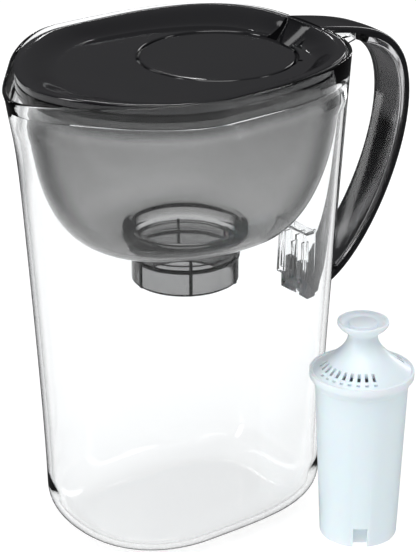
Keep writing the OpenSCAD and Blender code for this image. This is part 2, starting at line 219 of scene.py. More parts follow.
steps = [foot_ring(a, 0) for a in np.linspace(0.0, QUARTER_TURN, 14)]
steps += [jug_ring(z, 0) for z in np.linspace(WALL_START, RIM_Z - 11, 46)]
steps += [rim_ring(z, d) for d, z in rounded(RIM_Z, 0.0, 1.9)]
steps += [jug_ring(LEDGE_Z + 0.4, JUG_WALL), jug_ring(LEDGE_Z, JUG_WALL + 0.1)]
steps += [shelf_ring(LEDGE_Z, LEDGE_DEPTH - 0.3), shelf_ring(LEDGE_Z - 0.3, LEDGE_DEPTH)]
steps += [shelf_ring(LEDGE_Z - 4, LEDGE_DEPTH), jug_ring(LEDGE_Z - 9, JUG_WALL)]
steps += [jug_ring(z, JUG_WALL) for z in np.linspace(LEDGE_Z - 14, WALL_START, 44)]
steps += [foot_ring(a, JUG_WALL + 0.6) for a in np.linspace(QUARTER_TURN, 0.0, 14)]
jug = moulding("jug_moulding", steps)

# The tongue's two ribs and floor start inside the wall, at TONGUE_X.
TONGUE_X, TONGUE_END = 87.6, 116
TONGUE_RIB_Y, TONGUE_RIB_HALF = 7.5, 1.2
tongue = [(TONGUE_X, 236), (98, 243.4), (TONGUE_END, 248), (TONGUE_END, 253)]
tongue += [(110, 254.5), (99, 256.95), (TONGUE_X, 259)]
fittings = []
for side in (-1, 1):
    y = side * TONGUE_RIB_Y
    rib = side_cut("tongue_rib", tongue, y - TONGUE_RIB_HALF, y + TONGUE_RIB_HALF, 0.3)
    fittings.append(rib)
fittings.append(block("tongue_floor", TONGUE_X, TONGUE_END, 249.6, 251.6, -8.5, 8.5, 0.3))

# The bracket's plates lie on the leaning wall, and its ribs and shelf stand out of them.
PLATE_WALL_X, PLATE_FACE_X = 78.8, 84.6
PLATE_LOW, WALL_LEAN = 110, 15
RIB_ROOT_X, RIB_HALF = 83.6, 0.7
PLATES = ((6.5, 110, 118), (11.5, 117, 146))  # half width, lower and upper end
RIBS = (  # place across, lower and upper end, reach
    (-10.4, 119, 146, 92),
    (-7.7, 117, 139, 88),
    (-1.9, 118, 142, 90),
    (1.5, 118, 137, 88),
    (8.1, 117, 141, 89),
    (10.4, 119, 146, 92),
)
for half, low, high in PLATES:
    back_low, back_high = (PLATE_WALL_X + (z - PLATE_LOW) / WALL_LEAN for z in (low, high))
    plate = [(back_low, low), (PLATE_FACE_X, low), (PLATE_FACE_X, high), (back_high, high)]
    fittings.append(side_cut("bracket_plate", plate, -half, half, 0.4))
for y, low, high, out in RIBS:
    outline = [(RIB_ROOT_X, low), (out - 2, low), (out, low + 2), (out, high), (RIB_ROOT_X, high)]
    fittings.append(side_cut("bracket_rib", outline, y - RIB_HALF, y + RIB_HALF, 0.3))
fittings.append(block("bracket_shelf", RIB_ROOT_X, 91, 143.6, 145.4, -11.4, 11.4, 0.4))
join_or_cut(jug, fittings, "UNION")
join_or_cut(jug, [block("root_notch", 84, 90.2, 258, 266, -14.6, 14.6)], "DIFFERENCE")


def add_node(tree, kind, **sockets):
    """A new shader node with its named sockets set, their spaces written as underscores."""
    node = tree.nodes.new("ShaderNode" + kind)
    for socket, value in sockets.items():
        node.inputs[socket.replace("_", " ")].default_value = value
    return node


def surface(name, colour, roughness, **sockets):
    """A principled finish whose roughness wanders a little over the piece."""
    material = bpy.data.materials.new(name)
    material.use_nodes = True
    tree = material.node_tree
    shader = tree.nodes["Principled BSDF"]
    shader.inputs["Base Color"].default_value = (*colour, 1)
    for socket, value in sockets.items():
        shader.inputs[socket.replace("_", " ")].default_value = value
    place = add_node(tree, "TexCoord")
    cloud = add_node(tree, "TexNoise", Scale=35, Detail=3)
    spread = add_node(tree, "MapRange", To_Min=roughness[0], To_Max=roughness[1])
    tree.links.new(place.outputs["Object"], cloud.inputs["Vector"])
    tree.links.new(cloud.outputs["Fac"], spread.inputs["Value"])
    tree.links.new(spread.outputs["Result"], shader.inputs["Roughness"])
    return material


def ripple(material, scale, strength, depth):
    """Adds the fine unevenness of a moulded face, its depth in millimetres."""
    tree = material.node_tree
    grain = add_node(tree, "TexNoise", Scale=scale, Detail=4)
    lift = add_node(tree, "Bump", Strength=strength, Distance=depth * MM)
    place = next(n for n in tree.nodes if n.bl_idname == "ShaderNodeTexCoord")
    tree.links.new(place.outputs["Object"], grain.inputs["Vector"])
    tree.links.new(grain.outputs["Fac"], lift.inputs["Height"])
    tree.links.new(lift.outputs["Normal"], tree.nodes["Principled BSDF"].inputs["Normal"])


# Sockets of a Mix node that mixes two colours.
MIX_FACTOR, MIX_A, MIX_B = 0, 6, 7
MIX_COLOUR = 2


def painted_edge_shade(material, shade_colour, start, end):
    """Paints shade into the base colour where the plastic is seen edge-on.

    Returns the mix of the plastic's tint with the painted shade, and the node that gives its
    factor.
    """
    tree = material.node_tree
    shader = tree.nodes["Principled BSDF"]
    slant = add_node(tree, "LayerWeight", Blend=0.5)
    reach = add_node(tree, "MapRange", From_Min=start, From_Max=end)
    reach.interpolation_type = "SMOOTHSTEP"
    shade_mix = tree.nodes.new("ShaderNodeMix")
    shade_mix.data_type = "RGBA"
    shade_mix.inputs[MIX_A].default_value = shader.inputs["Base Color"].default_value
    shade_mix.inputs[MIX_B].default_value = (*shade_colour, 1)
    tree.links.new(slant.outputs["Facing"], reach.inputs["Value"])
    tree.links.new(reach.outputs["Result"], shade_mix.inputs[MIX_FACTOR])
    tree.links.new(shade_mix.outputs[MIX_COLOUR], shader.inputs["Base Color"])
    return shade_mix, reach


def absorb(material, colour, density):
    """Tints the light by how much plastic it passes through."""
    tree = material.node_tree
    depth = add_node(tree, "VolumeAbsorption", Color=(*colour, 1), Density=density)
    tree.links.new(depth.outputs["Volume"], tree.nodes["Material Output"].inputs["Volume"])


# A lower index than that of real styrene, so that less of the room is mirrored.
CLEAR_IOR = 1.3
clear_styrene = surface(
    "clear_styrene", (0.985, 0.992, 0.995), (0.0, 0.02), Transmission_Weight=1.0, IOR=CLEAR_IOR
)
ripple(clear_styrene, 26, 0.25, 0.12)
# Painted shade: the clear wall's base colour turns dark grey where it is seen edge-on, for the
# jug's grey outlines.
painted_edge_shade(clear_styrene, (0.1, 0.105, 0.11), 0.7, 0.95)
absorb(clear_styrene, (0.1, 0.13, 0.14), 3.5)
jug.data.materials.append(clear_styrene)
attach(jug, "jug")
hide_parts("jug_body")

# ---- Handle ------------------------------------------------------------------------
# The handle is a loop of two mouldings: a black outer shell, open like a channel on its
# inner side, and a clear grip liner snapped into it. The shell's root lies over the jug's
# tongue as a flat plate, and its foot hooks under the bracket with two pegs.

# Corners of the two smooth curves, up to and on from the loop's furthest point.
CROWN = np.array([[88.1, 261.7], [129, 255], [154.6, 248.6], [154.6, 210]])
TAIL = np.array([[154.6, 210], [154.6, 173], [125, 119.6], [94, 109.8]])
ROOT_HALF, GRIP_HALF, HEEL_HALF = 14.0, 11.5, 12.0
ROOT_TAPER, HEEL_TAPER = 0.667, 0.5
HANDLE_DEPTH = 7.4
ROOT_FLANK, SHELL_FLANK = 3.4, 4.3
SHELL_WEB, FLANK_T, SHELL_CORNER = 2.8, 2.2, 2.6
LINER_START, LINER_END = 4 / 12, 2 - 1.7 / 12
STATIONS = 60


def on_loop(u):
    """The place and direction along the loop, u from 0 at the root to 2 at the foot."""
    p, t = (CROWN, u) if u <= 1 else (TAIL, u - 1)
    s = 1 - t
    place = s**3 * p[0] + 3 * s * s * t * p[1] + 3 * s * t * t * p[2] + t**3 * p[3]
    way = s * s * (p[1] - p[0]) + 2 * s * t * (p[2] - p[1]) + t * t * (p[3] - p[2])
    return place, way / np.linalg.norm(way)


def half_width(u):
    if u < 1:
        return ROOT_HALF + (GRIP_HALF - ROOT_HALF) * float(ease(u / ROOT_TAPER))
    return HEEL_HALF + (GRIP_HALF - HEEL_HALF) * float(ease((2 - u) / HEEL_TAPER))


def section(u, profile):
    """A profile of (out, across) points set square to the loop."""
    place, way = on_loop(u)
    return [(place[0] - way[1] * out, across, place[1] + way[0] * out) for out, across in profile]


def shell_profile(u):
    """A channel, its flanks low along the root's plate and higher from there on."""
    w, r = half_width(u), SHELL_CORNER
    web, inside = SHELL_WEB, w - FLANK_T
    depth = ROOT_FLANK + (SHELL_FLANK - ROOT_FLANK) * float(ease(u * 12 - 3))
    turns = np.linspace(0, QUARTER_TURN, 7)
    corner = [(-r + r * math.sin(a), w - r + r * math.cos(a)) for a in turns]
    bulge = np.linspace(0.8, -0.8, 9)
    crown = [(0.35 * math.cos(QUARTER_TURN * y), (w - r) * y) for y in bulge]
    right = [(out, -across) for out, across in reversed(corner)]
    channel = [(-depth, -w), (-depth, -inside), (-web, -inside)]
    channel += [(-web, inside), (-depth, inside), (-depth, w)]
    return corner + crown + right + channel


def liner_profile(u):
    """A clear bar flush with the shell's flanks, with a tongue up into its channel."""
    w, d, r = half_width(u) - 0.1, HANDLE_DEPTH + 0.5, 1.2
    tongue_half = w - 2.3
    top, side = -SHELL_FLANK - 0.1, -SHELL_FLANK - 0.4
    bow = [(-d - 0.5 * math.cos(QUARTER_TURN * y), (w - 1.4) * y) for y in np.linspace(-1, 1, 11)]
    turns = np.linspace(0, QUARTER_TURN, 5)
    left = [(-d + r - r * math.sin(a), -w + r - r * math.cos(a)) for a in turns]
    right = [(out, -across) for out, across in reversed(left)]
    tongue = [(top, tongue_half), (-2.9, tongue_half), (-2.9, -tongue_half), (top, -tongue_half)]
    outline = [*tongue, (top, 0.3 - w), (side, -w), *left, *bow[1:-1]]
    return [*outline, *right, (side, w), (top, w - 0.3)]


def swept(name, start, end, profile, sharp=40.0):
    """A skin over a profile that changes along the loop."""
    stack = [section(u, profile(u)) for u in np.linspace(start, end, STATIONS)]
    return moulding(name, stack, sharp=sharp)


handle = swept("handle_outer", 0.0, 2.0, shell_profile)
HEEL_X, PEG_X = 84.65, 84.7
PEG_Y, PEG_HALF = 5.2, 1.9
heel = [(HEEL_X, 108.4), (96.6, 108.4), (99, 113), (98, 116.6), (93, 116.6), (HEEL_X, 114.6)]
peg = [(PEG_X, 113), (89.6, 113), (89.6, 124), (88, 127), (PEG_X, 127)]
hooks = [side_cut("heel_block", heel, -12.4, 12.4, 0.5)]
for y in (-PEG_Y, PEG_Y):
    hooks.append(side_cut("heel_peg", peg, y - PEG_HALF, y + PEG_HALF, 0.5))
for y0, y1 in ((-12.2, -4.0), (2.4, 12.2)):
    hooks.append(block("heel_toe", PEG_X, 92.6, 106.6, 109.6, y0, y1, 0.5))
join_or_cut(handle, hooks, "UNION", 40.0)
black_styrene = surface("black_styrene", (0.01, 0.01, 0.011), (0.04, 0.1))
ripple(black_styrene, 45, 0.1, 0.1)
handle.data.materials.append(black_styrene)
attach(handle, "jug")
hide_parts("handle_shell")

liner = swept("handle_grip_liner", LINER_START, LINER_END, liner_profile)
liner_styrene = surface(
    "liner_styrene", (0.62, 0.62, 0.63), (0.07, 0.14), Transmission_Weight=1.0, IOR=1.5
)
ripple(liner_styrene, 45, 0.1, 0.1)
liner.data.materials.append(liner_styrene)
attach(liner, "jug")
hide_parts("handle_liner")

# ---- Reservoir ---------------------------------------------------------------------
# The smoke-grey reservoir hangs in the jug by the band round its mouth. It is one
# transparent moulding, a deep bowl that closes on the filter's seat: a raised ring, a
# bored ledge for the filter's flange, and a ribbed collar round its body.

RES_WALL = 2.2
BAND_TOP = 255.0
FLOOR_Z = 163.6
SEAT_X = 8.4
COLLAR_Z = 136.0
SEAT_Z = 162.0
COLLAR_R = 28.2
BEAD_Z, BEAD_REACH = 149.8, 1.3
THROAT_LOW = 152.3
STEP_Z = 156.4
RING_R = 32.5
RING_TOP = 166.5
BORE_R = 28.2
THROAT_R = 25.6
# Eggs again, of the bowl's mouth and floor.
BOWL_TOP = np.array([93.6, 66.3, 68.4, 3.1, 2.1, -10])
BOWL_FLOOR = np.array([32.6, 49.5, 39.8, 3.1, 2.1, SEAT_X])
BOWL_MOUTH_Z = LEDGE_Z - 3


def band_ring(z, inset):
    """A ring of the band, which follows the jug's wall with a little play."""
    return egg(jug_outline(z), JUG_WALL + 0.4 + inset, z)


def bowl_ring(angle, inset):
    """A ring of the bowl, from its mouth at angle 0 down to its floor at a quarter turn."""
    share = math.cos(angle) ** 0.97 if angle < QUARTER_TURN - 1e-6 else 0.0
    z = BOWL_MOUTH_Z + (FLOOR_Z - BOWL_MOUTH_Z) * math.sin(angle)
    outline = BOWL_FLOOR + (BOWL_TOP - BOWL_FLOOR) * share
    return egg(outline, inset * math.cos(angle * 0.9), z + inset * math.sin(angle))


def circle(x, y, radius, z):
    level = np.full(len(around), z)
    return np.column_stack([x + radius * np.cos(around), y + radius * np.sin(around), level])


def seat_rings(*points):
    """Circles about the seat's axis, from (radius, height) points."""
    return [circle(SEAT_X, 0, radius, z) for radius, z in points]


sit = LEDGE_Z + 0.05
curve = np.linspace(0.12, QUARTER_TURN, 34)
steps = [band_ring(z, d) for d, z in rounded(BAND_TOP, RES_WALL, 0.0)]
steps += [band_ring(sit + 0.5, 0), band_ring(sit, 0.5)]
steps += [band_ring(sit, 2.1), band_ring(sit - 0.6, 2.6)]
steps += [bowl_ring(a, 0) for a in curve]
# Under the floor and down the collar's outside, with its bead half way.
steps += seat_rings((RING_R - 0.2, FLOOR_Z - 0.6), (RING_R - 1.2, SEAT_Z - 0.9))
steps += seat_rings((COLLAR_R + 0.9, SEAT_Z - 3), (COLLAR_R + 0.1, SEAT_Z - 10.6))
turns = np.linspace(math.pi, 0, 9)
steps += seat_rings(*[(COLLAR_R + 0.7 * math.sin(a), BEAD_Z - 1.2 * math.cos(a)) for a in turns])
steps += seat_rings((COLLAR_R, COLLAR_Z + 0.6), (COLLAR_R - 0.6, COLLAR_Z))
steps += seat_rings((COLLAR_R - 1.5, COLLAR_Z), (COLLAR_R - 2, COLLAR_Z + 0.6))
# Up its inside: the throat, the step that the flange rests on, the bore and the ring.
steps += seat_rings((COLLAR_R - 2, THROAT_LOW), (THROAT_R + 0.3, 152.6), (THROAT_R, 153))
steps += seat_rings((THROAT_R, 156), (THROAT_R + 0.4, STEP_Z), (BORE_R - 0.3, STEP_Z))
steps += seat_rings((BORE_R, 156.8), (BORE_R, 165.6), (BORE_R + 0.7, 166.4))
steps += seat_rings((BORE_R + 1.4, RING_TOP), (RING_R - 0.8, RING_TOP), (RING_R - 0.2, 166.3))
steps += seat_rings((RING_R, 165.9), (RING_R + 0.1, 165.83))
steps += [bowl_ring(a, RES_WALL) for a in curve[::-1]]
steps += [band_ring(LEDGE_Z + 2, RES_WALL)]
bowl = moulding("reservoir_bowl", steps, looped=True)
RIB_COUNT = 6
rib_side = [(27.2, 136.4), (28.7, 136.4), (29.0, 136.7), (29.0, 157.4), (27.2, 157.4)]
ribs = []
for k in range(RIB_COUNT):
    rib = side_cut("collar_rib", rib_side, -0.9, 0.9, 0.2)
    rib.rotation_euler = (0, 0, k * FULL_TURN / RIB_COUNT)
    rib.location = (SEAT_X * MM, 0, 0)
    ribs.append(rib)
bpy.context.view_layer.update()
join_or_cut(bowl, ribs, "UNION")

smoke_styrene = surface(
    "smoke_styrene", (0.95, 0.95, 0.95), (0.0, 0.03), Transmission_Weight=1.0, IOR=CLEAR_IOR
)
ripple(smoke_styrene, 20, 0.2, 0.15)
# The smoke's base colour changes with the height, over these metres: lightest over the seat,
# darker round the collar, a little darker up the wall, and darkest in the band under the lid,
# which is painted shade of the lid.
TINT_SHADE_LOW_Z, TINT_SHADE_HIGH_Z = 0.13, 0.26
TINT_AND_SHADE_STOPS = (
    (0.0, 0.4),
    (0.18, 0.45),
    (0.22, 1.0),
    (0.3, 1.0),
    (0.36, 0.9),
    (0.84, 0.7),
    (0.88, 0.22),
    (1.0, 0.15),
)
tree = smoke_styrene.node_tree
# Painted shade: the base colour turns black where the upright walls are seen edge-on, for the
# dark ends of the bowl.
edge, reach = painted_edge_shade(smoke_styrene, (0.0, 0.0, 0.0), 0.42, 0.64)
place = add_node(tree, "TexCoord")
split = add_node(tree, "SeparateXYZ")
height = add_node(tree, "MapRange", From_Min=TINT_SHADE_LOW_Z, From_Max=TINT_SHADE_HIGH_Z)
depth = add_node(tree, "ValToRGB")
stops = depth.color_ramp.elements
stops[0].position, stops[-1].position = TINT_AND_SHADE_STOPS[0][0], TINT_AND_SHADE_STOPS[-1][0]
for position, _ in TINT_AND_SHADE_STOPS[1:-1]:
    stops.new(position)
for stop, (position, tone) in zip(stops, TINT_AND_SHADE_STOPS):
    stop.color = (tone, tone, tone, 1)
tree.links.new(place.outputs["Object"], split.inputs["Vector"])
tree.links.new(split.outputs["Z"], height.inputs["Value"])
tree.links.new(height.outputs["Result"], depth.inputs["Fac"])
tree.links.new(depth.outputs["Color"], edge.inputs[MIX_A])
# Only upright faces get the painted edge shade, so that the flat floor stays light.
FLAT_START, FLAT_END, FLAT_SHARE = 0.25, 0.7, 0.03
upright = add_node(tree, "SeparateXYZ")
steep = add_node(tree, "Math")
steep.operation = "ABSOLUTE"
flat = add_node(
    tree, "MapRange", From_Min=FLAT_START, From_Max=FLAT_END, To_Min=1.0, To_Max=FLAT_SHARE
)
flat.interpolation_type = "SMOOTHSTEP"
scaled = add_node(tree, "Math")
scaled.operation = "MULTIPLY"
tree.links.new(place.outputs["Normal"], upright.inputs["Vector"])
tree.links.new(upright.outputs["Z"], steep.inputs[0])
tree.links.new(steep.outputs["Value"], flat.inputs["Value"])
tree.links.new(flat.outputs["Result"], scaled.inputs[0])
tree.links.new(reach.outputs["Result"], scaled.inputs[1])
tree.links.new(scaled.outputs["Value"], edge.inputs[MIX_FACTOR])
absorb(smoke_styrene, (0.06, 0.055, 0.05), 215)
bowl.data.materials.append(smoke_styrene)

# Painted shade: the narrow edges of the seat and collar get a near-black copy of the smoke
# plastic, so that they look darker than the faces beside them.
smoke_painted_shade = surface(
    "smoke_painted_shade", (0.02, 0.02, 0.02), (0.0, 0.03), Transmission_Weight=1.0, IOR=CLEAR_IOR
)
ripple(smoke_painted_shade, 20, 0.2, 0.15)
absorb(smoke_painted_shade, (0.06, 0.055, 0.05), 215)
bowl.data.materials.append(smoke_painted_shade)


def gets_painted_shade(r, z):
    """Whether a point is on the narrow edges of the seat and collar, or on a rib, where the shade
    is painted.
    """
    near = r < COLLAR_R + 1
    on_lip = RING_R - 0.8 < r < RING_R + 0.2 or r < BORE_R + 0.8
    lip = RING_TOP - 1 < z < RING_TOP - 0.01 and on_lip
    step = 0.05 < abs(z - STEP_Z) < 0.35 and r < BORE_R + 0.1
    throat = THROAT_LOW - 0.1 < z < THROAT_LOW + 0.8 and r < THROAT_R + 1.4
    collar_end = z < COLLAR_Z + 0.7
    bead = abs(z - BEAD_Z) < BEAD_REACH and r > COLLAR_R - 0.1 and near
    rib = z < BEAD_Z - BEAD_REACH and r > COLLAR_R + 0.15 and near
    return lip or step or throat or collar_end or bead or rib


for face in bowl.data.polygons:
    x, y, z = face.center / MM
    if gets_painted_shade(math.hypot(x - SEAT_X, y), z):
        face.material_index = 1
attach(bowl, "reservoir")
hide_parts("reservoir")

# ---- Lid ---------------------------------------------------------------------------
# The black lid drops into the reservoir's mouth on its plug and rests on the band. Its
# top is dished down to the round fill opening, with a finger tray at the handle side and
# two bored bosses underneath for the flap's pins.

LID_Z, LID_RISE = 260.6, 0.015
LID_INSET, LID_EDGE = 3.0, 0.7
SKIN = 2.2
DISH_LENGTH = 22
FILL_X, FILL_R, FILL_Z = 30.0, 41.8, 254.2
LIP = 1.2
SLEEVE_DEPTH = 8.6
HINGE_X, HINGE_Z = FILL_X - 34, FILL_Z - 1.3
FLAP_T = 2.4
PIN_R, PIN_PLAY = 0.95, 0.06
NICK_ANGLE = -49  # degrees


def edge_ring(inset, below):
    """A ring of the lid's edge, which rises a little towards the handle."""
    return egg(RIM, LID_INSET + inset, LID_Z - below, LID_RISE)


def dish_ring(share, below):
    """Part of the way from the lid's edge to the lip of the fill opening, on the dished top."""
    outer = egg(RIM, LID_INSET + 1.6, LID_Z, LID_RISE)
    inner = circle(FILL_X, 0, FILL_R + LIP, FILL_Z)
    side = np.linalg.norm(outer[:, :2] - inner[:, :2], axis=1)
    ring = outer + (inner - outer) * share
    fall = ease((share * side - 1) / np.minimum(DISH_LENGTH, side - 4))
    ring[:, 2] = outer[:, 2] + (FILL_Z - outer[:, 2]) * fall - below
    return ring


def stop_ring(z):
    """A ring round the opening that steps in at the handle side, where the flap lands."""
    ahead = np.cos(around)
    radius = FILL_R - 0.1 - 2.3 * ease((ahead - 0.1) / 0.3)
    level = np.full(len(around), z)
    return np.column_stack([FILL_X + radius * ahead, radius * np.sin(around), level])


def fill_rings(*points):
    """Circles about the fill opening's axis, from (radius, height) points."""
    return [circle(FILL_X, 0, radius, z) for radius, z in points]


shares = np.concatenate([np.linspace(0.03, 0.5, 16), np.linspace(0.54, 0.97, 10)])
seat_z = BAND_TOP + 0.05
stop_z = FILL_Z - 0.3 - FLAP_T
plug_z = seat_z - 5
sleeve_z = FILL_Z - SLEEVE_DEPTH
steps = [band_ring(plug_z, RES_WALL + 0.5), band_ring(seat_z, RES_WALL + 0.5)]
steps += [band_ring(seat_z, 0.5), edge_ring(LID_EDGE, 2.4), edge_ring(0.12, 2.4)]
steps += [edge_ring(0, 2.2), edge_ring(0, LID_EDGE)]
for a in np.linspace(0.3, QUARTER_TURN, 5):
    steps.append(edge_ring(LID_EDGE - LID_EDGE * math.cos(a), LID_EDGE - LID_EDGE * math.sin(a)))
steps += [dish_ring(0, -0.1)] + [dish_ring(s, 0) for s in shares]
for a in np.linspace(QUARTER_TURN, 0, 7):
    steps += fill_rings((FILL_R + LIP * (1 - math.cos(a)), FILL_Z - LIP * (1 - math.sin(a))))
steps += [*fill_rings((FILL_R, stop_z)), stop_ring(stop_z), stop_ring(stop_z - 1.4)]
steps += fill_rings((FILL_R - 0.1, stop_z - 2.4), (FILL_R - 0.1, sleeve_z))
steps += fill_rings((FILL_R + 1.5, sleeve_z), (FILL_R + 1.7, FILL_Z - SKIN))
steps += [dish_ring(s, SKIN) for s in shares[-2:0:-3]]
steps += [band_ring(seat_z, RES_WALL + 2.6), band_ring(plug_z, RES_WALL + 2.4)]
lid = moulding("lid_moulding", steps, looped=True)


def pin(name, x, y0, y1, z, radius):
    """A round bar across the jug."""
    turns = np.linspace(0, FULL_TURN, 49)[:-1]
    outline = [(x + radius * math.cos(t), z + radius * math.sin(t)) for t in turns]
    return moulding(name, [[(a, y, b) for a, b in outline] for y in (y0, y1)])


tray = [(70.6, 247), (77, 247), (83.2, 254.8), (84.6, 258), (80, 258), (70.6, 252.8)]
added = [side_cut("tray", tray, -12.2, 12.2, 0.3)]
added += [pin("boss", HINGE_X, s * 27, s * 31.4, HINGE_Z - 1.5, 2.7) for s in (-1, 1)]
join_or_cut(lid, added, "UNION")
hollow = [(68, 248.8), (76.2, 248.8), (83.6, 258.6), (85.2, 266), (68, 266)]
cuts = [side_cut("tray_hollow", hollow, -10.2, 10.2, 0.6)]
cuts += [pin("bore", HINGE_X, s * 22.5, s * 30.9, HINGE_Z, PIN_R + PIN_PLAY) for s in (-1, 1)]
nick = block("nick", 41.4, 44.6, 251.2, 256, -1.2, 1.2)
nick.rotation_euler = (0, 0, math.radians(NICK_ANGLE))
nick.location = (FILL_X * MM, 0, 0)
bpy.context.view_layer.update()
cuts.append(nick)
join_or_cut(lid, cuts, "DIFFERENCE")
lid_styrene = surface("lid_styrene", (0.007, 0.007, 0.008), (0.05, 0.1))
ripple(lid_styrene, 45, 0.08, 0.05)
lid.data.materials.append(lid_styrene)
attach(lid, "lid")
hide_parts("lid")

# ---- Fill flap ---------------------------------------------------------------------
# The round flap closes the fill opening. It is a slightly crowned black disc with a
# rounded edge, a stiffening ring underneath and two pins moulded on its rim that snap
# into the lid's bosses, so that it swings up towards the spout.

FLAP_R = 40.7
FLAP_CROWN = 0.3
STIFFENER_IN, STIFFENER_OUT, STIFFENER_DEPTH = 28.4, 30, 2
flap_top = FILL_Z - 0.2
flap_low = flap_top - FLAP_T


def turned(name, profile, x=0.0, y=0.0, sharp=35.0):
    """A lathe form about an upright axis, from (radius, height) points round its section."""
    return moulding(name, [circle(x, y, max(r, 0.02), z) for r, z in profile], sharp=sharp)


ring_low = flap_low - STIFFENER_DEPTH
disc = [(0, flap_low), (STIFFENER_IN, flap_low), (STIFFENER_IN, ring_low)]
disc += [(STIFFENER_OUT, ring_low), (STIFFENER_OUT, flap_low)]
disc += [(FLAP_R - 0.4, flap_low), (FLAP_R, flap_low + 0.4)]
for a in np.linspace(0, QUARTER_TURN, 7):
    disc.append((FLAP_R - LIP * (1 - math.cos(a)), flap_top - LIP * (1 - math.sin(a))))
disc += [(r, flap_top + FLAP_CROWN * (1 - (r / 39) ** 2)) for r in (36, 30, 24, 18, 12, 6, 0)]
flap = turned("flap_disc", disc, FILL_X)
pins = [pin("flap_pin", HINGE_X, s * 20, s * 30.4, HINGE_Z, PIN_R) for s in (-1, 1)]
join_or_cut(flap, pins, "UNION")
flap.data.materials.append(lid_styrene)
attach(flap, "flap")
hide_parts("fill_flap")

# ---- Filter cartridge --------------------------------------------------------------
# The loose cartridge is a tapered cup of bluish white plastic, filled with granules
# between two felt discs. Its welded cap flares from a flange up to a hollow knob, and
# fans of slots let the water in; there is a key notch at its foot.

FILTER_X, FILTER_Y = 64.4, -80.6
FACING = math.radians(-127)
FLANGE_Z, FLANGE_R, FLANGE_T = 91.8, 27.6, 4.2
BODY_R0, BODY_R1 = 20.6, 24.8
KNOB_Z, KNOB_R = 123.7, 13.6
VENT_COUNT, VENT_STEP = 8, 5
SLOT_COUNT, DASH_COUNT = 10, 8
SLOT_START, SLOT_PITCH = 14.1, 10.9  # degrees


def filter_box(name, x0, x1, half, z0, z1, turn=0.0):
    """A block set out from the cartridge's axis, turned about it from the notch's side."""
    cut = block(name, x0, x1, z0, z1, -half, half)
    cut.rotation_euler = (0, 0, FACING + turn)
    cut.location = (FILTER_X * MM, FILTER_Y * MM, 0)
    return cut


cup = [(0, 1), (BODY_R0 - 3, 1), (BODY_R0 - 2.4, 0), (BODY_R0 - 1, 0)]
cup += [(BODY_R0 - 0.3, 0.35), (BODY_R0, 1.2)]
cup += [(BODY_R1 - 0.2, FLANGE_Z - 3.9), (BODY_R1 + 0.3, FLANGE_Z - 3.7)]
cup += [(BODY_R1 + 0.5, FLANGE_Z - 3.4)]
cup += [(BODY_R1 + 0.5, FLANGE_Z), (BODY_R1 - 1.4, FLANGE_Z), (BODY_R0 - 1.2, 4), (0, 4)]
housing = turned("cartridge_cup", cup, FILTER_X, FILTER_Y)
pocket = filter_box("pocket", BODY_R0 - 5.8, BODY_R0 - 0.4, 5.2, 2, 13)
notch = filter_box("notch", BODY_R0 - 4.2, BODY_R0 + 5.8, 3.8, -1, 11.5)
vents = []
for k in range(VENT_COUNT):
    for row, r in enumerate((7, 7 + VENT_STEP)):
        turn = k * math.pi / 4 + row * math.pi / 8
        vents.append(filter_box("vent", r, r + 4, 0.8, -1, 5, turn))
bpy.context.view_layer.update()
join_or_cut(housing, [pocket], "UNION")
join_or_cut(housing, [notch, *vents], "DIFFERENCE")
cartridge_plastic = surface(
    "cartridge_plastic",
    (0.80, 0.88, 0.93),
    (0.3, 0.42),
    Subsurface_Weight=0.25,
    Subsurface_Scale=0.004,
)
ripple(cartridge_plastic, 120, 0.08, 0.05)
housing.data.materials.append(cartridge_plastic)
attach(housing, "filter")
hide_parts("filter_housing")


def bend(corners, z, count):
    """Points (radius, height) along a smooth curve between its first and last corner."""
    p = np.array(corners)
    t = np.linspace(0, 1, count)[:, None]
    s = 1 - t
    way = s**3 * p[0] + 3 * s**2 * t * p[1] + 3 * s * t**2 * p[2] + t**3 * p[3]
    return [(r, z + h) for r, h in way]


low, rim = FLANGE_Z, FLANGE_Z + FLANGE_T
hood = [(BODY_R1 - 3.4, low - 2.4), (BODY_R1 - 1.7, low - 2.4), (BODY_R1 - 1.7, low)]
hood += [(FLANGE_R - 0.5, low), (FLANGE_R - 0.15, low + 0.2), (FLANGE_R, low + 0.6)]
hood += [(FLANGE_R, rim - 0.5), (FLANGE_R - 0.15, rim - 0.15), (FLANGE_R - 0.5, rim)]
hood += [(FLANGE_R - 1.3, rim), (FLANGE_R - 1.55, rim - 0.15), (FLANGE_R - 1.7, rim - 0.4)]
hood += bend([(25.4, 0), (19.6, 4.6), (8.2, 11), (7.8, 19.5)], rim, 26)
hood += bend([(7.8, 19.5), (7.9, 22), (12.2, 22.6), (KNOB_R, 26.1)], rim, 12)[1:]
hood += [(KNOB_R, KNOB_Z - 0.6), (KNOB_R - 0.15, KNOB_Z - 0.2), (KNOB_R - 0.5, KNOB_Z)]
hood += [(KNOB_R - 1.1, KNOB_Z), (KNOB_R - 1.45, KNOB_Z - 0.15), (KNOB_R - 1.6, KNOB_Z - 0.4)]
for a in np.linspace(0.15, 1.4, 9):
    hood.append((8.6 + 3.4 * math.cos(a), KNOB_Z - 0.4 - 2.5 * math.sin(a)))
hood += [(8.2, KNOB_Z - 3), (7.8, KNOB_Z - 3), (7.6, KNOB_Z - 2.8), (7.4, KNOB_Z - 1.3)]
hood += [(7.2, KNOB_Z - 1), (7, KNOB_Z - 0.9), (0, KNOB_Z - 0.7)]
hood += [(0, KNOB_Z - 4), (5.9, KNOB_Z - 4)]
hood += bend([(5.9, 18), (6.6, 9), (18.6, 3.1), (23.2, -1.4)], rim, 16)
hood += [(BODY_R1 - 3.4, low + 1.8)]
rings = [circle(FILTER_X, FILTER_Y, max(r, 0.02), z) for r, z in hood]
cap = moulding("cartridge_cap", rings, looped=True)
fans = []
for side in (0, 180):
    fans.append([math.radians(side + SLOT_START - SLOT_PITCH * k) for k in range(SLOT_COUNT)])
slots = []
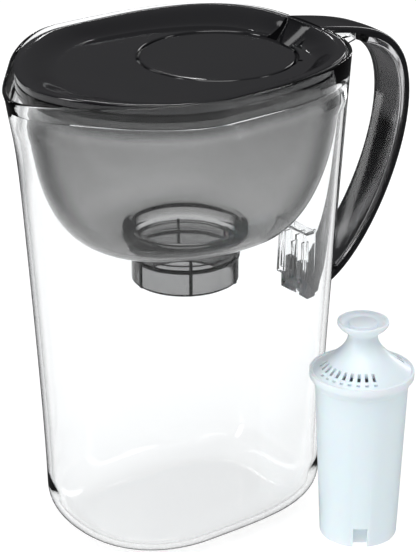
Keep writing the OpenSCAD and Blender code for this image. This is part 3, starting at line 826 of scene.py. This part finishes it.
for fan in fans:
    slots += [filter_box("slot", 18.3, 22.2, 0.85, rim - 2, rim + 12, turn) for turn in fan]
for fan in fans:
    for turn in fan[:DASH_COUNT]:
        slots.append(filter_box("dash", 23.5, 24.5, 1.0, rim - 1.2, rim + 4, turn))
slots.append(filter_box("knob_slit", 5.6, 8.2, 0.35, KNOB_Z - 3, KNOB_Z + 1, math.radians(90)))
bpy.context.view_layer.update()
join_or_cut(cap, slots, "DIFFERENCE")
cap.data.materials.append(cartridge_plastic)
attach(cap, "filter")
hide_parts("filter_cap")

granules = surface("granules", (0.35, 0.37, 0.4), (0.7, 0.95))
ripple(granules, 900, 0.8, 0.6)
felt = surface("felt", (0.85, 0.86, 0.86), (0.85, 1.0))
ripple(felt, 1500, 0.5, 0.2)
FILLING = (
    ("filter_media", granules),
    ("filter_top_screen", felt),
    ("filter_base_screen", felt),
)
for node, finish in FILLING:
    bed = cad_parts[node]
    for part_slot in bed.material_slots:
        part_slot.material = finish

# ---- Table, light and camera -------------------------------------------------------
# The jug stands on a plain white table that glows a little, in a dim room. The table is
# hidden from reflections, so that gloss and clear edges mirror the room and the soft boxes.

TABLE_RADIUS = 2.2
# A little under the feet, so that no face lies in the table's own plane.
TABLE_DROP = 0.4 * MM
TABLE_GLOW = 0.86
bpy.ops.mesh.primitive_circle_add(vertices=128, radius=TABLE_RADIUS, fill_type="NGON")
table = bpy.context.object
table.name = "table"
table.visible_glossy = False
table.location.z = -TABLE_DROP
pale = surface(
    "pale_table",
    (0.3, 0.3, 0.3),
    (0.75, 0.85),
    Emission_Color=(1, 1, 1, 1),
    Emission_Strength=TABLE_GLOW,
)
table.data.materials.append(pale)

world = bpy.data.worlds.new("studio")
bpy.context.scene.world = world
world.use_nodes = True
sky = world.node_tree
heading = add_node(sky, "TexCoord")
parts = add_node(sky, "SeparateXYZ")
ramp = add_node(sky, "ValToRGB")
horizon, zenith = ramp.color_ramp.elements
horizon.position, horizon.color = 0.0, (0.05, 0.05, 0.052, 1)
zenith.position, zenith.color = 0.9, (0.3, 0.3, 0.31, 1)
sky.links.new(heading.outputs["Generated"], parts.inputs["Vector"])
sky.links.new(parts.outputs["Z"], ramp.inputs["Fac"])
sky.links.new(ramp.outputs["Color"], sky.nodes["Background"].inputs["Color"])
sky.nodes["Background"].inputs["Strength"].default_value = 1.0


def soft_light(name, place, target, width, height, power):
    """A rectangular light that faces its target."""
    lamp = bpy.data.lights.new(name, "AREA")
    lamp.shape = "RECTANGLE"
    lamp.size, lamp.size_y, lamp.energy = width, height, power
    holder = bpy.data.objects.new(name, lamp)
    holder.location = place
    holder.rotation_euler = (Vector(target) - Vector(place)).to_track_quat("-Z", "Y").to_euler()
    bpy.context.scene.collection.objects.link(holder)


LIGHTS = (  # name, place, target, width, height, power
    ("overhead", (-0.5, -0.6, 2.0), (0.0, 0.0, 0.15), 1.4, 1.4, 24),
    ("left_box", (-1.6, 0.2, 0.75), (0.0, 0.0, 0.12), 0.3, 1.3, 14),
    ("right_box", (1.1, -1.3, 0.7), (0.0, 0.0, 0.12), 0.3, 1.3, 6),
    ("rear_box", (1.5, 0.5, 0.6), (0.1, 0.0, 0.15), 0.25, 1.2, 5),
    ("left_rear_box", (-0.55, 0.95, 0.45), (0.12, 0.0, 0.2), 0.14, 1.3, 1.6),
    ("rear_strip", (0.72, 1.09, 0.91), (-0.07, 0.02, 0.26), 0.16, 0.03, 0.25),
)
for light in LIGHTS:
    soft_light(*light)

AIM = Vector((23.88, 0, 131.64)) * MM
DISTANCE = 1335.6 * MM
AZIMUTH, ELEVATION = math.radians(-37), math.radians(23.14)
level = math.cos(ELEVATION)
back = Vector((math.sin(AZIMUTH) * level, -math.cos(AZIMUTH) * level, math.sin(ELEVATION)))
FOCAL_PIXELS, FRAME_WIDTH = 2500, 416
SENSOR_WIDTH = 36
eye = bpy.data.cameras.new("camera")
eye.sensor_fit = "HORIZONTAL"
eye.sensor_width = SENSOR_WIDTH
eye.lens = SENSOR_WIDTH * FOCAL_PIXELS / FRAME_WIDTH
viewer = bpy.data.objects.new("camera", eye)
viewer.location = AIM + DISTANCE * back
viewer.rotation_euler = (-back).to_track_quat("-Z", "Y").to_euler()
bpy.context.scene.collection.objects.link(viewer)
bpy.context.scene.camera = viewer
bpy.context.scene.view_settings.view_transform = "Standard"
